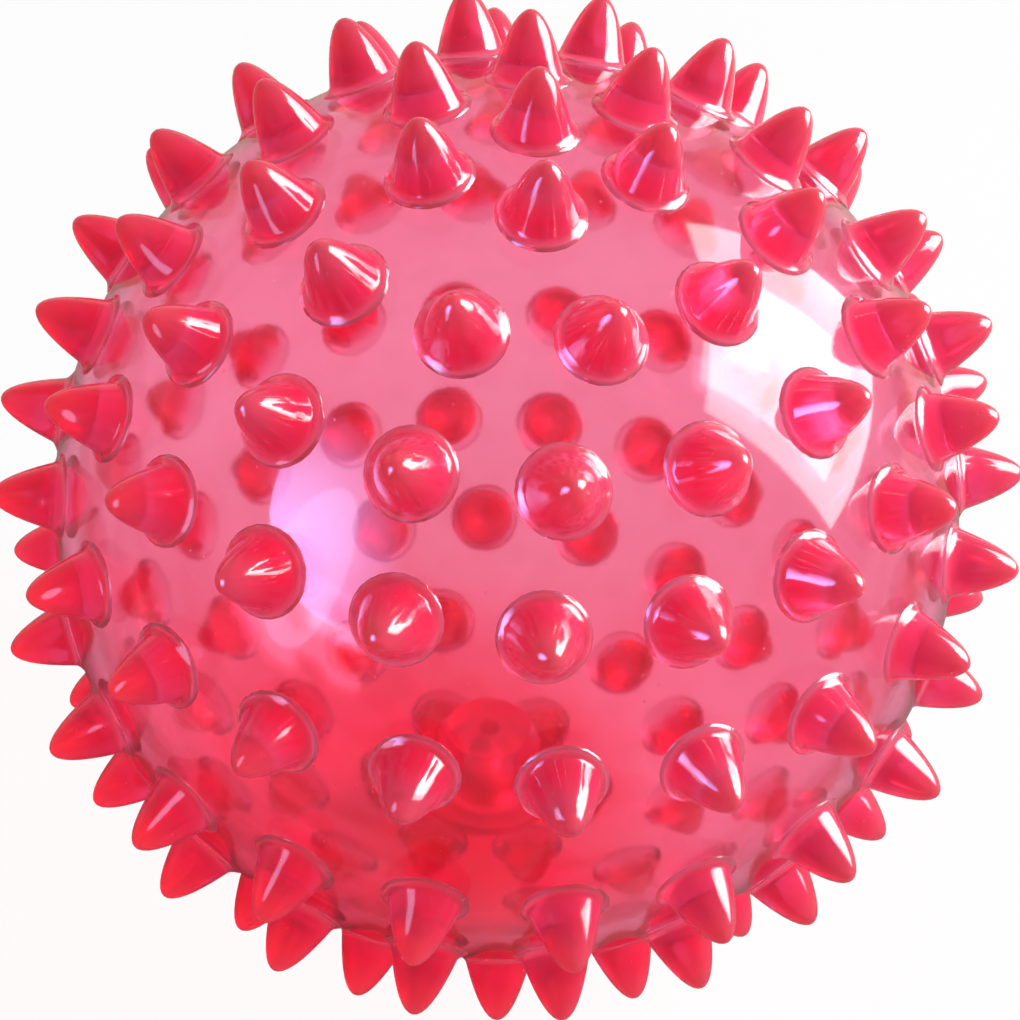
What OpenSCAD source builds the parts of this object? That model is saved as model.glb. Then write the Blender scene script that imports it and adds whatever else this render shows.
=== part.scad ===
// Sensory ball: a hollow, soft vinyl ball covered with short round-tipped spikes.
// Two equal halves of spikes meet at the equator. The lower pole carries the air valve.
// Millimetres. +Z is up and the ball stands on its lowest spikes, on the plane z = 0.

/* [Ball] */
// Diameter of the skin, without the spikes
ball_d = 88; // [72:1:130]
// Thickness of the moulded skin
skin_wall = 2; // [1.2:0.1:3]

/* [Spikes] */
// Height of a spike above the skin
spike_h = 6.2; // [4:0.1:9]
// Diameter of the crisp rim where a spike meets the skin
spike_rim_d = 8; // [7.4:0.1:9]
// Diameter of the spike's round body, measured at the skin
spike_body_d = 6.6; // [4:0.1:7.2]
// Height of the low flare between a spike's rim and its body
spike_flare_h = 0.6; // [0.4:0.1:2]

/* [Valve] */
// Diameter of the valve bush where it passes through the skin
bush_d = 11; // [9.6:0.1:12]
// Length of the valve bush, from the skin's outer face inwards
bush_len = 11; // [9.5:0.1:16]
// Diameter of the flange that lies against the inside of the skin
bush_flange_d = 17; // [14:0.1:24]
// Thickness of that flange at its edge
bush_flange_t = 1.5; // [1:0.1:2.5]
// Diameter of the bore that the plug closes
plug_bore_d = 4; // [3:0.1:5]
// Depth of that bore below the plug's seat
plug_bore_len = 5; // [3:0.1:6]
// Diameter of the narrow bore that a pump needle goes into
needle_bore_d = 2.2; // [1.6:0.1:2.6]
// Diameter of the plug's head
plug_head_d = 7; // [6:0.1:7.6]
// Thickness of the plug's head
plug_head_t = 1.4; // [1:0.1:2]

/* [Hidden] */
$fn = 128;

// How far above the equator each ring of one half lies, in degrees, from the pole down
ring_angles = [76, 60, 44, 28.5, 10.8];
ring_counts = [6, 12, 16, 20, 22];
// Where each ring starts, as a share of the angle between its spikes
ring_start_shares = [0.8, 0, 0.58, 0.34, 0.44];
// The direction from which the rings are counted, and that the halves share
front_angle = -90;

// One overrun for every cut
cut_over = 0.5;
// Radial gap between the plug's shank and its bore, and below the plug's head
plug_fit = 0.05;
// Gap round the plug's head, wide enough for a fingernail's edge
head_gap = 0.3;
// Length of the plug's tapered lead-in, and of the bush's tapered inner end
plug_lead_len = 1.2;
bush_lead_len = 2;
// Gap between the plug's end and the bottom of its bore
plug_end_gap = 0.6;
// Depth of the two grooves round the plug's shank, and their width
groove_depth = 0.25;
groove_w = 0.6;
// The fingernail scoop in the bush beside the plug's head
scoop_d = 4;
scoop_depth = 0.9;

ball_r = ball_d / 2;
skin_inner_r = ball_r - skin_wall;
spike_rim_r = spike_rim_d / 2;
spike_body_r = spike_body_d / 2;
spike_flare_w = spike_rim_r - spike_body_r;

// A spike's radius at a height above the skin: a paraboloid, with a flared foot
function flare_share(h) = max(0, 1 - h / spike_flare_h);
function spike_r(h) = spike_body_r * sqrt(1 - h / spike_h) + spike_flare_w * pow(flare_share(h), 2);

// Heights at which the flank is drawn: even steps up the foot, even steps of radius to the tip
foot_steps = 4;
body_steps = 7;
body_share = sqrt(1 - spike_flare_h / spike_h);
foot_heights = [for (i = [0 : foot_steps - 1]) spike_flare_h * i / foot_steps];
body_heights = [for (i = [body_steps : -1 : 0]) spike_h * (1 - pow(body_share * i / body_steps, 2))];
flank = [for (h = concat(foot_heights, body_heights)) [spike_r(h), h]];

// The height of the ball's centre, at which the lowest ring of spikes just meets the floor
rest_angle = ring_angles[0];
centre_h = max([for (p = flank) (ball_r + p.y) * sin(rest_angle) + p.x * cos(rest_angle)]);

// The valve's levels, as distances from the ball's centre
bush_r = bush_d / 2;
recess_r = plug_head_d / 2 + head_gap;
bush_face = sqrt(pow(ball_r, 2) - pow(bush_r, 2));
bush_end = bush_face - bush_len;
recess_floor = bush_face - plug_head_t - plug_fit;
plug_bore_floor = recess_floor - plug_bore_len;
shank_r = plug_bore_d / 2 - plug_fit;
shank_end = plug_bore_floor + plug_end_gap;
flange_r = bush_flange_d / 2;
flange_face = sqrt(pow(skin_inner_r, 2) - pow(flange_r, 2)) - bush_flange_t;

// Puts a child that stands on the pole at a latitude and a longitude
module on_ball(latitude, longitude) {
  rotate([0, 0, longitude])
    rotate([0, 90 - latitude, 0])
      children();
}

// Lifts the ball onto the floor
module standing() {
  translate([0, 0, centre_h])
    children();
}

// Turns what is built at the upper pole to the lower one, as the mould's two equal halves meet
module turned_over() {
  rotate([0, 180, 0])
    children();
}

// One spike at the upper pole, its foot hollowed to sit on the skin
module spike() {
  rotate_extrude()
    difference() {
      translate([0, ball_r])
        polygon(concat([[0, -cut_over], [spike_rim_r, -cut_over]], flank));
      circle(r = ball_r);
    }
}

// One ring of spikes of the upper half
module spike_ring(ring) {
  pitch = 360 / ring_counts[ring];
  for (i = [0 : ring_counts[ring] - 1])
    on_ball(ring_angles[ring], front_angle + (ring_start_shares[ring] + i) * pitch)
      spike();
}

module ball_skin() {
  color([0.96, 0.52, 0.60, 0.6])
    standing()
      difference() {
        sphere(r = ball_r);
        sphere(r = skin_inner_r);
        turned_over()
          cylinder(r = bush_r, h = ball_r + cut_over);
      }
}

// The bush's outline: a neck through the skin and a flange inside it, with the stepped bore
module bush_outline() {
  difference() {
    union() {
      polygon([
        [0, bush_end], [bush_r - bush_lead_len / 2, bush_end], [bush_r, bush_end + bush_lead_len],
        [bush_r, bush_face], [0, bush_face]
      ]);
      intersection() {
        translate([0, flange_face])
          square([flange_r, ball_r - flange_face]);
        circle(r = skin_inner_r);
      }
    }
    translate([0, recess_floor])
      square([recess_r, plug_head_t + cut_over]);
    translate([0, plug_bore_floor])
      square([plug_bore_d / 2, plug_bore_len + cut_over]);
    translate([0, bush_end - cut_over])
      square([needle_bore_d / 2, bush_len]);
  }
}

module valve_bush() {
  color([0.90, 0.30, 0.40])
    standing()
      turned_over()
        difference() {
          rotate_extrude()
            bush_outline();
          translate([recess_r, 0, bush_face - scoop_depth])
            cylinder(d = scoop_d, h = scoop_depth + cut_over);
        }
}

// The plug's outline: a flat head with a softened edge, and a grooved shank with a tapered lead-in
module plug_outline() {
  head_r = plug_head_d / 2;
  head_base = recess_floor + plug_fit;
  shank_len = head_base - shank_end;
  edge = plug_head_t / 4;
  lead_r = needle_bore_d / 2;
  difference() {
    polygon([
      [0, shank_end], [lead_r, shank_end], [shank_r, shank_end + plug_lead_len], [shank_r, head_base],
      [head_r, head_base], [head_r, bush_face - edge], [head_r - edge, bush_face], [0, bush_face]
    ]);
    for (i = [1, 2])
      translate([shank_r - groove_depth, head_base - shank_len * i / 4 - groove_w / 2])
        square([groove_depth + cut_over, groove_w]);
  }
}

module valve_plug() {
  color([0.98, 0.86, 0.88])
    standing()
      turned_over()
        rotate_extrude()
          plug_outline();
}

module pole_spike() {
  color([0.90, 0.10, 0.24])
    standing()
      spike();
}

module upper_spikes(ring) {
  color([0.90, 0.10, 0.24])
    standing()
      spike_ring(ring);
}

module lower_spikes(ring) {
  color([0.90, 0.10, 0.24])
    standing()
      turned_over()
        spike_ring(ring);
}

ball_skin();
valve_bush();
valve_plug();
pole_spike();
upper_spikes(0);  // upper_spikes_1
upper_spikes(1);  // upper_spikes_2
upper_spikes(2);  // upper_spikes_3
upper_spikes(3);  // upper_spikes_4
upper_spikes(4);  // upper_spikes_5
lower_spikes(0);  // lower_spikes_1
lower_spikes(1);  // lower_spikes_2
lower_spikes(2);  // lower_spikes_3
lower_spikes(3);  // lower_spikes_4
lower_spikes(4);  // lower_spikes_5
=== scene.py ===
# %% [markdown]
# A sensory ball is a hollow ball of soft, clear pink vinyl, covered with short round-tipped spikes.
# The solids come from the imported model, and this script gives them their looks.

# %% Load the frame
import math
import bpy
import numpy as np
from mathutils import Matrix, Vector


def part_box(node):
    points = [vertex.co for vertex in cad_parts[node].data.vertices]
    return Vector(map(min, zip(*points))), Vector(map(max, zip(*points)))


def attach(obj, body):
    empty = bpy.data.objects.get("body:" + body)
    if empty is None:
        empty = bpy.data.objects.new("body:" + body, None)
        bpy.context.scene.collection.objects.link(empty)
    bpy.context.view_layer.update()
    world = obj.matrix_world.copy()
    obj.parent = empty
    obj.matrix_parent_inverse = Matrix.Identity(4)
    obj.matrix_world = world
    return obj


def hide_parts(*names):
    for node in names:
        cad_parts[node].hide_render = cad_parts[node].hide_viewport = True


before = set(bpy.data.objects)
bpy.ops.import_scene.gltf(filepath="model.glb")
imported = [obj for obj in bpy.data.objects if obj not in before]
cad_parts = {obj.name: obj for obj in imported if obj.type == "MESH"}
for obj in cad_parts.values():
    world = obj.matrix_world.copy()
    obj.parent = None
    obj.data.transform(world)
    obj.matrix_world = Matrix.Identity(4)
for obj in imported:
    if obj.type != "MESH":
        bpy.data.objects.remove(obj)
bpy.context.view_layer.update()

# %% [markdown]
# The sizes of the ball are read from the solids, so the looks follow the model when it changes.
# The skin's box gives its radius and its centre, because the skin is whole at the top and at the sides
# and has its valve hole only at the bottom. Its nearest points to the centre give the inner radius.
# The lowest face of the valve bush fills that hole, so its radius is the radius of the hole.

# %% Sizes of the skin
millimetre = 0.001
hair = 0.01 * millimetre


def points_of(node):
    """All points of a solid's mesh, one row each."""
    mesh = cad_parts[node].data
    points = np.empty(len(mesh.vertices) * 3, np.float32)
    mesh.vertices.foreach_get("co", points)
    return points.reshape(-1, 3).astype(float)


skin_low, skin_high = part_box("ball_skin")
ball_r = (skin_high.x - skin_low.x) / 2
centre = np.array([0, 0, skin_high.z - ball_r])
inner_r = np.linalg.norm(points_of("ball_skin") - centre, axis=1).min()
bush_points = points_of("valve_bush")
bush_face = bush_points[bush_points[:, 2] < bush_points[:, 2].min() + hair]
hole_r = np.linalg.norm(bush_face[:, :2], axis=1).max()
print("skin radius", round(ball_r / millimetre, 2), "wall", round((ball_r - inner_r) / millimetre, 2),
      "hole radius", round(hole_r / millimetre, 2), "mm")

# %% [markdown]
# A spike's tip is the point of its solid that lies farthest from the centre. So the tips of a ring are the
# points at the largest distance, and the direction of each tip is the axis of its spike.
# Reading the directions this way keeps every drawn spike exactly on its own solid.
# The spike on the upper pole stands upright, so its own points give the radius of a spike's round body:
# on a paraboloid the radius is the body's radius times the root of the share of the height that is left.

# %% Sizes and directions of the spikes
pole_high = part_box("pole_spike")[1]
spike_h = pole_high.z - skin_high.z
rim_r = pole_high.x
pole_points = points_of("pole_spike")
left_share = 1 - (pole_points[:, 2] - skin_high.z) / spike_h
round_shares = (0.1, 0.5)
round_part = (left_share > round_shares[0]) & (left_share < round_shares[1])
body_radii = np.linalg.norm(pole_points[round_part, :2], axis=1) / np.sqrt(left_share[round_part])
body_r = body_radii.max()
ring_nodes = sorted(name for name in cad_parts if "spike" in name)
axis_decimals = 3


def spike_axes(node):
    """Directions from the centre to the farthest points of a solid, one row for each spike."""
    outward = points_of(node) - centre
    distance = np.linalg.norm(outward, axis=1)
    far = distance > ball_r + spike_h - hair
    axes = np.unique(np.round(outward[far] / distance[far, None], axis_decimals), axis=0)
    return axes / np.linalg.norm(axes, axis=1, keepdims=True)


axes_of = {node: spike_axes(node) for node in ring_nodes}
print("spike height", round(spike_h / millimetre, 2), "rim radius", round(rim_r / millimetre, 2),
      "body radius", round(body_r / millimetre, 2), "mm")
print("spikes:", {node: len(axes) for node, axes in axes_of.items()})

# %% [markdown]
# The skin and each spike are surfaces of revolution: a profile is turned about an axis.
# Here a profile starts and ends on the axis, so the surface closes at two poles and has no hole and no seam.
# All points are worked out at once, as one array of profile rows by turns.

# %% Turning a profile
def turned_points(profile, turns):
    """Points of a turned profile of rows (radius, height): (r cos t, r sin t, h) for evenly spaced angles t.
    The first and last rows lie on the axis and give one point each."""
    angle = np.arange(turns) * 2 * np.pi / turns
    radius, height = profile[1:-1, 0:1], profile[1:-1, 1:2]
    rows = np.stack([radius * np.cos(angle), radius * np.sin(angle), height + 0 * angle], axis=-1)
    first, last = np.array([[[0, 0, profile[0, 1]]], [[0, 0, profile[-1, 1]]]])
    return np.concatenate([first, rows.reshape(-1, 3), last])


def turned_faces(rows, turns):
    """Faces between neighbouring rows, as four-sided rings with a fan of triangles at each pole.
    They point outwards where the profile runs upwards."""
    here = np.arange(turns)
    after = (here + 1) % turns
    start = 1 + np.arange(rows - 3)[:, None] * turns
    ring = np.stack([start + here, start + after, start + turns + after, start + turns + here], axis=-1)
    end = 1 + (rows - 3) * turns
    low_fan = np.stack([0 * here, 1 + after, 1 + here], axis=-1)
    high_fan = np.stack([0 * here + end + turns, end + here, end + after], axis=-1)
    return ring.reshape(-1, 4), low_fan, high_fan


def finished_piece(name, points, faces):
    """A smooth mesh object at the origin, with its place in its points."""
    mesh = bpy.data.meshes.new(name)
    mesh.from_pydata(points.tolist(), [], [face for part in faces for face in part.tolist()])
    mesh.shade_smooth()
    piece = bpy.data.objects.new(name, mesh)
    bpy.context.scene.collection.objects.link(piece)
    print(name, len(mesh.vertices), "points,", len(mesh.polygons), "faces")
    return piece


def mark(piece, name, values):
    """Keeps one number for each point with the mesh, under a name that its material reads."""
    kept = piece.data.attributes.new(name, "FLOAT", "POINT")
    kept.data.foreach_set("value", values.astype(np.float32))


# %% [markdown]
# The skin is one even wall with a hole for the valve at the lower pole. Its profile runs from the upper
# pole down the outside, through the hole and back up the inside, so inside and outside are one closed wall.
# Light can then bend on its way in and on its way out, as it does in the real skin.
# A hair of room is left round the valve bush, because two faces in the same place flicker.
# The skin is equally pale on both sides of its faces, so both its marks for redness are zero.

# %% The skin
skin_rows = 110
skin_turns = 200
bush_room = 0.02 * millimetre


def arc(radius, first, last, count):
    """Points (radius sin a, radius cos a) of a circle about the centre, for angles a from the upper pole."""
    angle = np.linspace(first, last, count)
    return np.stack([radius * np.sin(angle), radius * np.cos(angle)], axis=1)


def skin_profile():
    """The outside from the upper pole to the valve hole, and the inside back again."""
    edge_r = hole_r + bush_room
    outside = arc(ball_r, 0, math.pi - math.asin(edge_r / ball_r), skin_rows)
    inside = arc(inner_r, math.pi - math.asin(edge_r / inner_r), 0, skin_rows)
    profile = np.concatenate([outside, inside])
    profile[[0, -1], 0] = 0
    return profile


wall = skin_profile()
skin = finished_piece(
    "clear_skin",
    turned_points(wall, skin_turns) + centre,
    [face[:, ::-1] for face in turned_faces(len(wall), skin_turns)],
)
for side in ("red_outside", "red_inside"):
    mark(skin, side, np.zeros(len(skin.data.vertices)))

# %% [markdown]
# A spike is a paraboloid: its radius falls with the square root of the height that is left to the tip.
# At its foot it flares out to a low crisp rim, as the mould's edge leaves it.
# The foot is hollowed to the skin's own curve and lies a hair above it, so that light bends at it.
# The flare's height is typed, because the points of the solid don't show where the flare ends.

# %% The shape of one spike
spike_turns = 24
foot_rows = 5
flare_rows = 4
body_rows = 9
flare_h = 0.6 * millimetre
foot_room = 0.02 * millimetre
lip_h = 0.05 * millimetre


def flare_share(height):
    """How much of the flare is left at a height: 1 at the rim, 0 where it ends, falling with the square."""
    return np.clip(1 - height / flare_h, 0, None)**2


def spike_radius(height):
    """Radius at a height above the skin: a paraboloid plus the flare."""
    return body_r * np.sqrt(np.clip(1 - height / spike_h, 0, None)) + (rim_r - body_r) * flare_share(height)


def spike_profile():
    """From the middle of the hollowed foot out along the skin, over the lip and up the flank to the tip.
    The foot follows a circle about the ball's centre: its height is sqrt(R^2 - r^2) - R, plus the room.
    The flank's rows are even in height up the flare, and even in radius from there to the tip.
    The flare settles towards the curved skin, so that only the low lip stands up at the rim."""
    foot_r = np.linspace(0, rim_r, foot_rows)
    foot = np.stack([foot_r, np.sqrt(ball_r**2 - foot_r**2) - ball_r + foot_room], axis=1)
    flare_heights = np.linspace(0, flare_h, flare_rows + 1)[:-1]
    radius_share = np.linspace(math.sqrt(1 - flare_h / spike_h), 0, body_rows)
    height = np.concatenate([flare_heights, spike_h * (1 - radius_share**2)])
    settled = height + (foot[-1, 1] + lip_h) * flare_share(height)
    flank = np.stack([spike_radius(height), settled], axis=1)
    flank[-1, 0] = 0
    return np.concatenate([foot, flank])


spike_outline = spike_profile()
print("rows in a spike:", len(spike_outline), "from", np.round(spike_outline[0] / millimetre, 2),
      "to", np.round(spike_outline[-1] / millimetre, 2), "mm")

# %% [markdown]
# A real spike is deep red from outside, with a paler rim and a slightly paler tip, where it is thin.
# Seen from within the ball, through the far wall, only its thick middle is dark, and its thin edge lets the
# light through.
# So each point keeps two numbers: how red its face is to light from outside the spike, and from inside it.
# The foot is the other way round, because light from within the ball meets its outer side.

# %% How red a spike is
rim_red_share = 0.65
tip_pale_share = 0.25
red_height = 0.3 * millimetre
core_start = 1.2 * millimetre
core_full = 3.6 * millimetre


def red_marks(points):
    """Redness of one spike's points, outside and inside.
    Outside, the flank goes from the rim's share to 1 by 1 - e^(-height / red_height), and pales by the square
    of the height towards the tip. Inside, it is a smooth step 3 s^2 - 2 s^3 of the height.
    The foot is clear outside, and inside 1 - (r / body_r)^4."""
    height = np.clip(points[:, 2], 0, None)
    outside = rim_red_share + (1 - rim_red_share) * (1 - np.exp(-height / red_height))
    outside *= 1 - tip_pale_share * (height / spike_h)**2
    share = np.clip((height - core_start) / (core_full - core_start), 0, 1)
    inside = 3 * share**2 - 2 * share**3
    foot = slice(0, 1 + (foot_rows - 1) * spike_turns)
    outside[foot] = 0
    inside[foot] = 1 - np.clip(np.linalg.norm(points[foot, :2], axis=1) / body_r, 0, 1)**4
    return {"red_outside": outside, "red_inside": inside}


# %% [markdown]
# The ball carries about 150 equal spikes, so one spike is worked out and copied along each axis of its ring.
# Instances would be lighter, but a ring has to be one real mesh that rides on the ball and can be exported.

# %% The rings of spikes
steep_share = 0.9


def turned_to(axes):
    """One rotation for each axis, as columns (side, other side, axis)."""
    helper = np.where(np.abs(axes[:, 2:]) > steep_share, [[1, 0, 0]], [[0, 0, 1]])
    side = np.cross(helper, axes)
    side /= np.linalg.norm(side, axis=1, keepdims=True)
    return np.stack([side, np.cross(axes, side), axes], axis=-1)


def spike_ring(name, axes):
    """Copies of one turned spike, each stood on the skin along its own axis."""
    one = turned_points(spike_outline, spike_turns)
    standing = one + [0, 0, ball_r]
    points = np.einsum("sij,vj->svi", turned_to(axes), standing).reshape(-1, 3) + centre
    shift = np.arange(len(axes))[:, None, None] * len(one)
    spike_faces = turned_faces(len(spike_outline), spike_turns)
    faces = [(face + shift).reshape(-1, face.shape[1]) for face in spike_faces]
    piece = finished_piece(name, points, faces)
    for side, values in red_marks(one).items():
        mark(piece, side, np.tile(values, len(axes)))
    return piece


rings = {node: spike_ring("clear_" + node, axes) for node, axes in axes_of.items()}

# %% [markdown]
# The vinyl is clear and takes out green and blue light, so a thin wall looks pink and a thick spike deep red.
# The colour is shared between the surface, which tints what passes it, and the depth inside.
# The tint drifts a little, as the pigment does in a moulded ball. The gloss drifts too, with the fine ripple
# of a mould and a few specks of dust. First come the helpers for these details.

# %% Tint of every vinyl
cloud_scale = 55
cloud_detail = 4
cloud_range = (0.35, 0.65)


def add_node(tree, kind, **values):
    """A new node, with values set on its own fields or, by name, on its inputs."""
    node = tree.nodes.new(kind)
    for key, value in values.items():
        if hasattr(node, key):
            setattr(node, key, value)
        else:
            node.inputs[key.replace("_", " ")].default_value = value
    return node


def drifting_tint(tree, place, pale, deep):
    """A slow drift between two colours, and the cloud pattern that it follows."""
    clouds = add_node(tree, "ShaderNodeTexNoise", Scale=cloud_scale, Detail=cloud_detail)
    tree.links.new(place.outputs["Object"], clouds.inputs["Vector"])
    tint = add_node(tree, "ShaderNodeValToRGB")
    low, high = tint.color_ramp.elements
    low.position, high.position = cloud_range
    low.color, high.color = (*deep, 1), (*pale, 1)
    tree.links.new(clouds.outputs["Fac"], tint.inputs["Fac"])
    return tint, clouds


# %% Ripple and haze of every vinyl
ripple_scale = 260
ripple_detail = 3
ripple_strength = 0.03
ripple_h = 0.4 * millimetre
speck_scale = 420
speck_size_share = 0.09
speck_haze = 0.3


def mould_ripple(tree, place):
    """The fine unevenness that a mould leaves, as a bump."""
    ripple = add_node(tree, "ShaderNodeTexNoise", Scale=ripple_scale, Detail=ripple_detail)
    tree.links.new(place.outputs["Object"], ripple.inputs["Vector"])
    bump = add_node(tree, "ShaderNodeBump", Strength=ripple_strength, Distance=ripple_h)
    tree.links.new(ripple.outputs["Fac"], bump.inputs["Height"])
    return bump


def specked_haze(tree, place, clouds, haze):
    """Roughness that drifts with the clouds, and rises on small specks of dust."""
    drift = add_node(tree, "ShaderNodeMapRange", To_Min=haze[0], To_Max=haze[1])
    tree.links.new(clouds.outputs["Fac"], drift.inputs["Value"])
    cells = add_node(tree, "ShaderNodeTexVoronoi", Scale=speck_scale)
    tree.links.new(place.outputs["Object"], cells.inputs["Vector"])
    specks = add_node(tree, "ShaderNodeMapRange", From_Max=speck_size_share, To_Min=speck_haze, To_Max=0)
    tree.links.new(cells.outputs["Distance"], specks.inputs["Value"])
    total = add_node(tree, "ShaderNodeMath", operation="ADD")
    tree.links.new(drift.outputs["Result"], total.inputs[0])
    tree.links.new(specks.outputs["Result"], total.inputs[1])
    return total


# %% [markdown]
# Clear vinyl reads the two marks of each point and takes the one for the side that the light meets.
# Where the mark says red, the tint goes over to the heart colour and the vinyl scatters more of the light.
# A coat over it all gives the crisp reflections of the windows.
# Lamps shine through it: for their rays the vinyl is a plain tinted film, so its shadow is red, not black.

# %% Redness, and the film that lamps see
def red_amount(tree):
    """The redness mark of the side of the face that the light meets."""
    outside = add_node(tree, "ShaderNodeAttribute", attribute_name="red_outside")
    inside = add_node(tree, "ShaderNodeAttribute", attribute_name="red_inside")
    side = add_node(tree, "ShaderNodeNewGeometry")
    amount = add_node(tree, "ShaderNodeMix")
    tree.links.new(side.outputs["Backfacing"], amount.inputs["Factor"])
    tree.links.new(outside.outputs["Fac"], amount.inputs["A"])
    tree.links.new(inside.outputs["Fac"], amount.inputs["B"])
    return amount


def lamp_film(tree, shader, film):
    """The shader as it is, but a plain tinted film for the rays that lamps send."""
    clear = add_node(tree, "ShaderNodeBsdfTransparent", Color=(*film, 1))
    path = add_node(tree, "ShaderNodeLightPath")
    mix = add_node(tree, "ShaderNodeMixShader")
    tree.links.new(path.outputs["Is Shadow Ray"], mix.inputs["Fac"])
    tree.links.new(shader.outputs["BSDF"], mix.inputs[1])
    tree.links.new(clear.outputs["BSDF"], mix.inputs[2])
    return mix


# %% Clear vinyl
vinyl_ior = 1.3


def clear_vinyl(name, pale, deep, heart, haze, clearness, coat, film, depth_colour, depth):
    """Clear vinyl that goes from a drifting pale tint to its heart colour where the mesh says it is red."""
    material = bpy.data.materials.new(name)
    material.use_nodes = True
    tree = material.node_tree
    place = add_node(tree, "ShaderNodeTexCoord")
    tint, clouds = drifting_tint(tree, place, pale, deep)
    amount = red_amount(tree)
    colour = add_node(tree, "ShaderNodeMix", data_type="RGBA")
    tree.links.new(amount.outputs["Result"], colour.inputs["Factor"])
    tree.links.new(tint.outputs["Color"], colour.inputs["A"])
    colour.inputs["B"].default_value = (*heart, 1)
    clear = add_node(tree, "ShaderNodeMapRange", To_Min=clearness[0], To_Max=clearness[1])
    tree.links.new(amount.outputs["Result"], clear.inputs["Value"])
    shader = tree.nodes["Principled BSDF"]
    shader.inputs["IOR"].default_value = vinyl_ior
    shader.inputs["Coat Weight"].default_value = coat[0]
    shader.inputs["Coat Roughness"].default_value = coat[1]
    tree.links.new(colour.outputs["Result"], shader.inputs["Base Color"])
    tree.links.new(clear.outputs["Result"], shader.inputs["Transmission Weight"])
    tree.links.new(specked_haze(tree, place, clouds, haze).outputs["Value"], shader.inputs["Roughness"])
    tree.links.new(mould_ripple(tree, place).outputs["Normal"], shader.inputs["Normal"])
    output = tree.nodes["Material Output"]
    tree.links.new(lamp_film(tree, shader, film).outputs["Shader"], output.inputs["Surface"])
    volume = add_node(tree, "ShaderNodeVolumeAbsorption", Color=(*depth_colour, 1), Density=depth)
    tree.links.new(volume.outputs["Volume"], output.inputs["Volume"])
    print(name, "with", len(tree.nodes), "nodes")
    return material


# %% [markdown]
# The skin is pale and nearly clear, with a trace of milk that catches the light on the bright side.
# The spikes hold more pigment in their depth, and where they are red, half of the light scatters in them.

# %% Skin and spike finishes
skin_vinyl = clear_vinyl(
    "skin_vinyl",
    pale=(0.99, 0.63, 0.726),
    deep=(0.98, 0.56, 0.66),
    heart=(0.98, 0.56, 0.66),
    haze=(0.05, 0.09),
    clearness=(0.99, 0.99),
    coat=(0.5, 0.06),
    film=(0.92, 0.33, 0.60),
    depth_colour=(0.99, 0.04, 0.46),
    depth=120,
)
spike_vinyl = clear_vinyl(
    "spike_vinyl",
    pale=(0.98, 0.80, 0.86),
    deep=(0.97, 0.74, 0.82),
    heart=(1.0, 0.045, 0.17),
    haze=(0.14, 0.22),
    clearness=(1.0, 0.5),
    coat=(1.0, 0.03),
    film=(0.96, 0.28, 0.46),
    depth_colour=(0.99, 0.04, 0.50),
    depth=240,
)
skin.data.materials.append(skin_vinyl)
for ring in rings.values():
    ring.data.materials.append(spike_vinyl)

# %% [markdown]
# The valve sits at the lower pole: a soft bush in the skin, and a plug that pulls out of it for pumping.
# Both are small turned pieces whose solids already have the right shape, so they stay as they are.
# Both are rougher than the skin and blur what is behind them: the bush is nearly as clear as the skin and
# a deeper red, and the plug is a paler, milky pink. Their meshes carry no marks of redness, so each has
# one drifting tint all over.

# %% The valve's finish
valve_haze = (0.3, 0.45)
valve_coat = (0.3, 0.15)
valve_finishes = {
    "valve_bush": clear_vinyl(
        "bush_vinyl",
        pale=(0.99, 0.42, 0.56),
        deep=(0.98, 0.36, 0.50),
        heart=(0.98, 0.36, 0.50),
        haze=valve_haze,
        clearness=(0.95, 0.95),
        coat=valve_coat,
        film=(0.95, 0.34, 0.52),
        depth_colour=(0.99, 0.04, 0.46),
        depth=60,
    ),
    "valve_plug": clear_vinyl(
        "plug_vinyl",
        pale=(0.97, 0.62, 0.68),
        deep=(0.95, 0.54, 0.62),
        heart=(0.95, 0.54, 0.62),
        haze=valve_haze,
        clearness=(0.25, 0.25),
        coat=valve_coat,
        film=(0.95, 0.50, 0.60),
        depth_colour=(0.99, 0.30, 0.50),
        depth=60,
    ),
}
for node, finish in valve_finishes.items():
    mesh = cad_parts[node].data
    mesh.materials.clear()
    mesh.materials.append(finish)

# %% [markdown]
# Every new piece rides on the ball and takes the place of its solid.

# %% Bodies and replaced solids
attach(skin, "ball")
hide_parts("ball_skin")
for node, ring in rings.items():
    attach(ring, "ball")
    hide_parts(node)
print("new pieces on the ball:", 1 + len(rings))

# %% [markdown]
# The camera stands where the photograph was taken: above the ball's front, a little rolled.
# Its direction is written as angles round the ball and its distance in ball radii, and the lens is the one
# that makes the ball as large as in the photograph.

# %% Camera
camera_distance = 5.2 * ball_r
camera_elevation = math.radians(42.2)
camera_azimuth = math.radians(-107.6)
camera_roll = math.radians(4.4)
picture_px = 1020
focal_px = 2310.9
centre_px = (506.6, 506.9)
near_clip = 10 * millimetre
ahead = np.array([math.cos(camera_azimuth), math.sin(camera_azimuth), 0])
away = math.cos(camera_elevation) * ahead + math.sin(camera_elevation) * np.array([0, 0, 1])


def facing(direction, roll=0.0):
    """The two side directions of something that looks along minus direction, level but for its roll."""
    level = np.cross([0, 0, 1], direction)
    level /= np.linalg.norm(level)
    upward = np.cross(direction, level)
    right = math.cos(roll) * level + math.sin(roll) * upward
    return right, np.cross(direction, right)


def placed(right, up, back, position):
    """A placing matrix from three directions and a position."""
    matrix = np.eye(4)
    matrix[:3] = np.stack([right, up, back, position], axis=1)
    return matrix.T.tolist()


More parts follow.
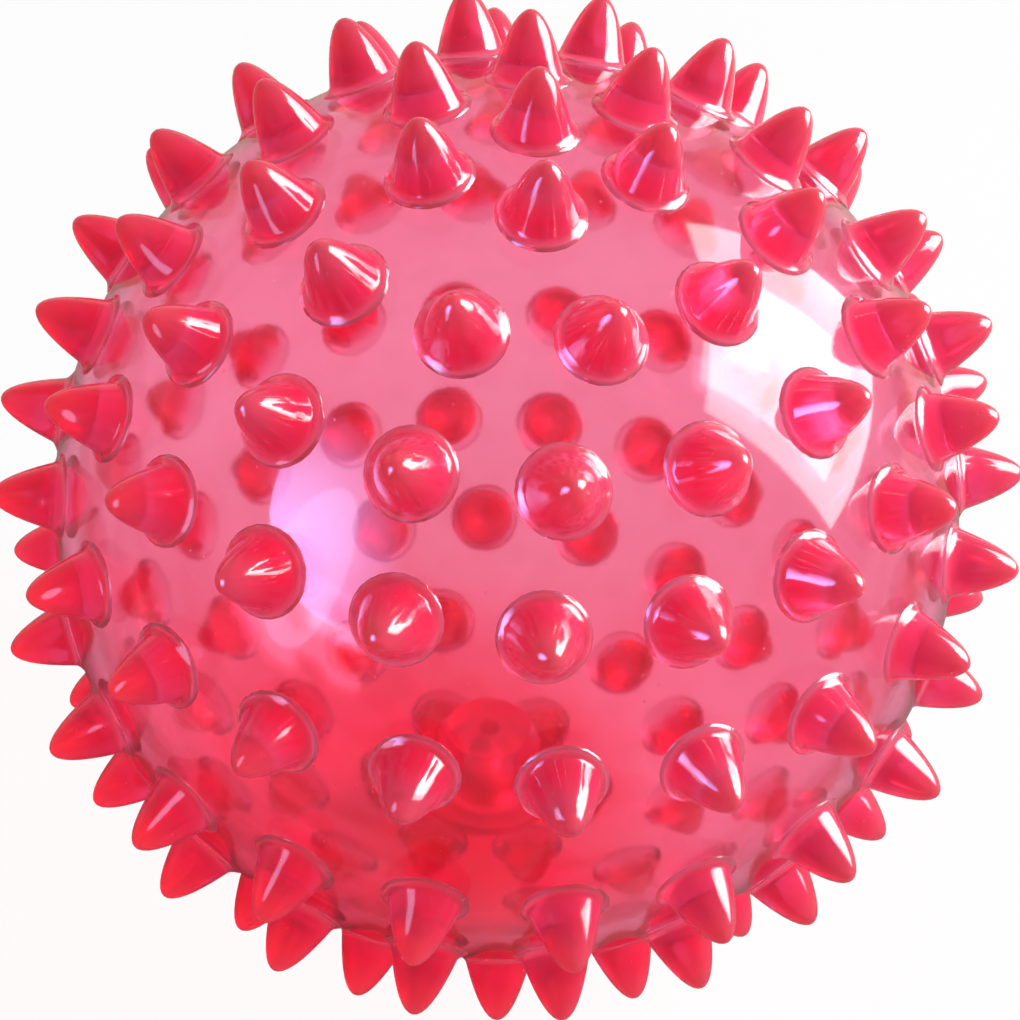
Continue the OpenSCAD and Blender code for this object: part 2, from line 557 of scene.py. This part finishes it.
camera = bpy.data.objects.new("camera", bpy.data.cameras.new("camera"))
bpy.context.scene.collection.objects.link(camera)
camera.matrix_world = placed(*facing(away, camera_roll), away, centre + camera_distance * away)
camera.data.lens = focal_px / picture_px * camera.data.sensor_width
camera.data.shift_x = (picture_px / 2 - centre_px[0]) / picture_px
camera.data.shift_y = (centre_px[1] - picture_px / 2) / picture_px
camera.data.clip_start = near_clip
bpy.context.scene.camera = camera
print("camera at", np.round(centre + camera_distance * away, 3), "lens", round(camera.data.lens, 1), "mm")

# %% [markdown]
# The floor is plain white paper. The camera sees it lifted nearly to white, with the ball's faint red shadow.
# Seen through the clear vinyl, the paper far from the ball is white too, while the paper under the ball keeps
# the red shadow: that makes the ball's lower part a deeper red than its upper part. The distance is counted
# from a spot in front and to the right, because the shadow falls the other way and would darken the left.
# For mirror reflections the paper's tone is painted. In front of the ball it is a painted dark reflection, as
# a black card in front of a glossy product would give, so the lower half shows its own colour and not a white
# veil. Far behind the ball it is a painted warm reflection, which shows only at the ball's edge.

# %% Helpers for what different rays see
def mirror_rays(tree):
    """A factor of 1 for mirror reflections and 0 for light that passes through or scatters."""
    path = add_node(tree, "ShaderNodeLightPath")
    mirror = add_node(tree, "ShaderNodeMath", operation="SUBTRACT", use_clamp=True)
    tree.links.new(path.outputs["Is Glossy Ray"], mirror.inputs[0])
    tree.links.new(path.outputs["Is Transmission Ray"], mirror.inputs[1])
    return path, mirror


def colour_steps(tree, value, steps):
    """A colour for a value from (value, colour) steps, mixed evenly between them and level beyond them."""
    first, last = steps[0][0], steps[-1][0]
    share = add_node(tree, "ShaderNodeMapRange", From_Min=first, From_Max=last)
    ramp = add_node(tree, "ShaderNodeValToRGB")
    ramp.color_ramp.elements[0].color = (*steps[0][1], 1)
    ramp.color_ramp.elements[1].color = (*steps[-1][1], 1)
    for step, colour in steps[1:-1]:
        ramp.color_ramp.elements.new((step - first) / (last - first)).color = (*colour, 1)
    tree.links.new(value, share.inputs["Value"])
    tree.links.new(share.outputs["Result"], ramp.inputs["Fac"])
    return ramp


# %% The paper's own tone, and the tones painted into its reflections
paper_tone = 0.95
paper_roughness = 0.9
# Painted reflection: the paper's tone seen by mirror rays only, warm far behind the ball and dark in front of
# it.
painted_mirror_floor_steps = (
    (-0.25, (1.0, 0.62, 0.54)),
    (-0.06, (0.42, 0.26, 0.26)),
    (0.10, (0.10, 0.08, 0.08)),
)


def paper_shader(tree, spot, mirror):
    """Diffuse white paper, with a painted tone in mirror reflections that follows the distance in front of
    the ball.
    """
    forward = add_node(tree, "ShaderNodeVectorMath", operation="DOT_PRODUCT")
    forward.inputs[1].default_value = ahead.tolist()
    tree.links.new(spot.outputs["Object"], forward.inputs[0])
    # Painted dark and warm reflections of the paper, for mirror rays only.
    painted_mirror_tone = colour_steps(tree, forward.outputs["Value"], painted_mirror_floor_steps)
    tone = add_node(tree, "ShaderNodeMix", data_type="RGBA")
    tree.links.new(mirror.outputs["Value"], tone.inputs["Factor"])
    tone.inputs["A"].default_value = (paper_tone, paper_tone, paper_tone, 1)
    tree.links.new(painted_mirror_tone.outputs["Color"], tone.inputs["B"])
    shader = tree.nodes["Principled BSDF"]
    shader.inputs["Roughness"].default_value = paper_roughness
    shader.inputs["Specular IOR Level"].default_value = 0
    tree.links.new(tone.outputs["Result"], shader.inputs["Base Color"])
    return shader


# %% How white the paper looks
camera_lift_share = 0.94
through_lift_share = 0.9
shade_reach = (0.065, 0.125)
shade_ahead = 30 * millimetre
shade_right = 25 * millimetre


def white_share(tree, spot, path):
    """How far the paper is lifted to white: evenly for the camera, with distance for light through vinyl."""
    shade_place = shade_ahead * ahead + shade_right * np.cross([0, 0, 1], ahead)
    distance = add_node(tree, "ShaderNodeVectorMath", operation="DISTANCE")
    distance.inputs[1].default_value = shade_place.tolist()
    tree.links.new(spot.outputs["Object"], distance.inputs[0])
    far = add_node(tree, "ShaderNodeMapRange", From_Min=shade_reach[0], From_Max=shade_reach[1],
                   To_Max=through_lift_share)
    tree.links.new(distance.outputs["Value"], far.inputs["Value"])
    through = add_node(tree, "ShaderNodeMath", operation="MULTIPLY")
    tree.links.new(path.outputs["Is Transmission Ray"], through.inputs[0])
    tree.links.new(far.outputs["Result"], through.inputs[1])
    lift = add_node(tree, "ShaderNodeMath", operation="MULTIPLY_ADD")
    tree.links.new(path.outputs["Is Camera Ray"], lift.inputs[0])
    lift.inputs[1].default_value = camera_lift_share
    tree.links.new(through.outputs["Value"], lift.inputs[2])
    return lift


# %% The floor
floor_reach = 6.0


def white_paper():
    """The paper's own shader, mixed with a plain white glow by how far it is lifted."""
    material = bpy.data.materials.new("paper")
    material.use_nodes = True
    tree = material.node_tree
    path, mirror = mirror_rays(tree)
    spot = add_node(tree, "ShaderNodeTexCoord")
    white = add_node(tree, "ShaderNodeEmission")
    mix = add_node(tree, "ShaderNodeMixShader")
    tree.links.new(white_share(tree, spot, path).outputs["Value"], mix.inputs["Fac"])
    tree.links.new(paper_shader(tree, spot, mirror).outputs["BSDF"], mix.inputs[1])
    tree.links.new(white.outputs["Emission"], mix.inputs[2])
    tree.links.new(mix.outputs["Shader"], tree.nodes["Material Output"].inputs["Surface"])
    return material


corners = np.array([[-1, -1, 0], [1, -1, 0], [1, 1, 0], [-1, 1, 0]]) * floor_reach
floor_mesh = bpy.data.meshes.new("floor")
floor_mesh.from_pydata(corners.tolist(), [], [[0, 1, 2, 3]])
floor_mesh.materials.append(white_paper())
floor = bpy.data.objects.new("floor", floor_mesh)
bpy.context.scene.collection.objects.link(floor)
print("floor", 2 * floor_reach, "m across")

# %% [markdown]
# The room is white. Light that passes through the vinyl sees it as it is, so the colours stay bright.
# Mirror reflections see it darker towards the camera, where a photographer's room is dark, and warm behind.
# Scattered light gets less of it, so that the windows model the ball.

# %% Room
room_tone = 0.90
scatter_strength = 0.30
mirror_room_steps = (
    (-0.8, (1.0, 0.62, 0.54)),
    (-0.25, (0.42, 0.26, 0.26)),
    (0.6, (0.08, 0.07, 0.07)),
)
world = bpy.data.worlds.new("room")
bpy.context.scene.world = world
world.use_nodes = True
room = world.node_tree
direction = add_node(room, "ShaderNodeTexCoord")
towards = add_node(room, "ShaderNodeVectorMath", operation="DOT_PRODUCT")
towards.inputs[1].default_value = away.tolist()
room.links.new(direction.outputs["Generated"], towards.inputs[0])
dark_side = colour_steps(room, towards.outputs["Value"], mirror_room_steps)
room_path, room_mirror = mirror_rays(room)
seen = add_node(room, "ShaderNodeMix", data_type="RGBA")
seen.inputs["A"].default_value = (room_tone, room_tone, room_tone, 1)
room.links.new(room_mirror.outputs["Value"], seen.inputs["Factor"])
room.links.new(dark_side.outputs["Color"], seen.inputs["B"])
strength = add_node(room, "ShaderNodeMapRange", To_Min=1, To_Max=scatter_strength)
room.links.new(room_path.outputs["Diffuse Depth"], strength.inputs["Value"])
sky = room.nodes["Background"]
room.links.new(seen.outputs["Result"], sky.inputs["Color"])
room.links.new(strength.outputs["Result"], sky.inputs["Strength"])
print("room with", len(room.nodes), "nodes")

# %% [markdown]
# A large window on the upper right lights the ball, and its brightest pane draws a cream streak on a spike.
# A gleam is a card that only reflections see. One widens the white patch on the right. A lavender one close
# to the left of the ball gives the soft patch there: it is three cards within each other, so its edge fades.
# Another lavender one in front of the ball faces the right half, where it gleams on the left flanks of the
# spikes. It has a narrow spread, so that the skin in the middle doesn't show it.
# The camera doesn't see any of them directly.

# %% Places, sizes in metres and powers in watts
far_lamp = 0.5
windows = {
    "right_window": {
        "direction": (0.84, -0.08, 0.54), "distance": far_lamp, "size": (0.26, 0.34),
        "power": 2.0, "colour": (0.97, 0.98, 1.0),
    },
    "bright_pane": {
        "direction": (0.70, -0.10, 0.71), "distance": far_lamp, "size": (0.035, 0.16),
        "power": 0.46, "colour": (1.0, 0.94, 0.84),
    },
    "right_gleam": {
        "direction": (0.89, -0.02, 0.48), "distance": far_lamp, "size": (0.44, 0.40),
        "power": 5.0, "colour": (0.98, 0.98, 1.0), "gleam_only": True,
    },
    "left_gleam": {
        "direction": (-1.28, -0.96, 0.70), "distance": 0.077, "size": (0.018, 0.040),
        "power": 0.0075, "colour": (0.55, 0.60, 1.0), "gleam_only": True,
        "aim": (-0.0254, -0.0278, 0.0228), "shape": "ELLIPSE", "shares": (0.4, 0.7, 1.0),
    },
    "spike_gleam": {
        "direction": (-0.76, -0.92, 0.94), "distance": 0.067, "size": (0.040, 0.044),
        "power": 0.0087, "colour": (0.30, 0.40, 1.0), "gleam_only": True,
        "aim": (0.0226, -0.0232, 0.0257), "shape": "ELLIPSE", "spread_degrees": 60,
    },
}


# %% Windows and gleams
full_degrees = 180


def window(name, direction, distance, size, power, colour, gleam_only=False,
           aim=(0, 0, 0), shape="RECTANGLE", spread_degrees=full_degrees, shares=(1,)):
    """Soft windows of light, or cards that only reflections see, that face a point counted from the ball's
    centre. Each share of the size gives one of them, equally bright, at the same place."""
    place = distance * np.array(direction) / np.linalg.norm(direction)
    back = (place - aim) / np.linalg.norm(place - aim)
    for share in shares:
        light = bpy.data.lights.new(name, "AREA")
        light.shape = shape
        light.size, light.size_y = size[0] * share, size[1] * share
        light.energy = power * share**2
        light.color = colour
        light.spread = math.radians(spread_degrees)
        lamp = bpy.data.objects.new(name, light)
        bpy.context.scene.collection.objects.link(lamp)
        lamp.matrix_world = placed(*facing(back), back, centre + place)
        lamp.visible_camera = False
        lamp.visible_diffuse = not gleam_only
        lamp.visible_transmission = not gleam_only
    print(name, len(shares), "lamp of", power, "W at", distance, "m")


for name, values in windows.items():
    window(name, **values)

# %% [markdown]
# Light crosses many faces of clear vinyl: two walls of skin, and a spike in front of and behind them.
# So it is followed through a few more faces than usual, and no further, because each one costs time.

# %% How far light is followed
deepest_path = 9
scene = bpy.context.scene
scene.view_settings.view_transform = "Standard"
scene.cycles.max_bounces = deepest_path
scene.cycles.transmission_bounces = deepest_path
scene.cycles.transparent_max_bounces = deepest_path
print("light is followed through", deepest_path, "faces")
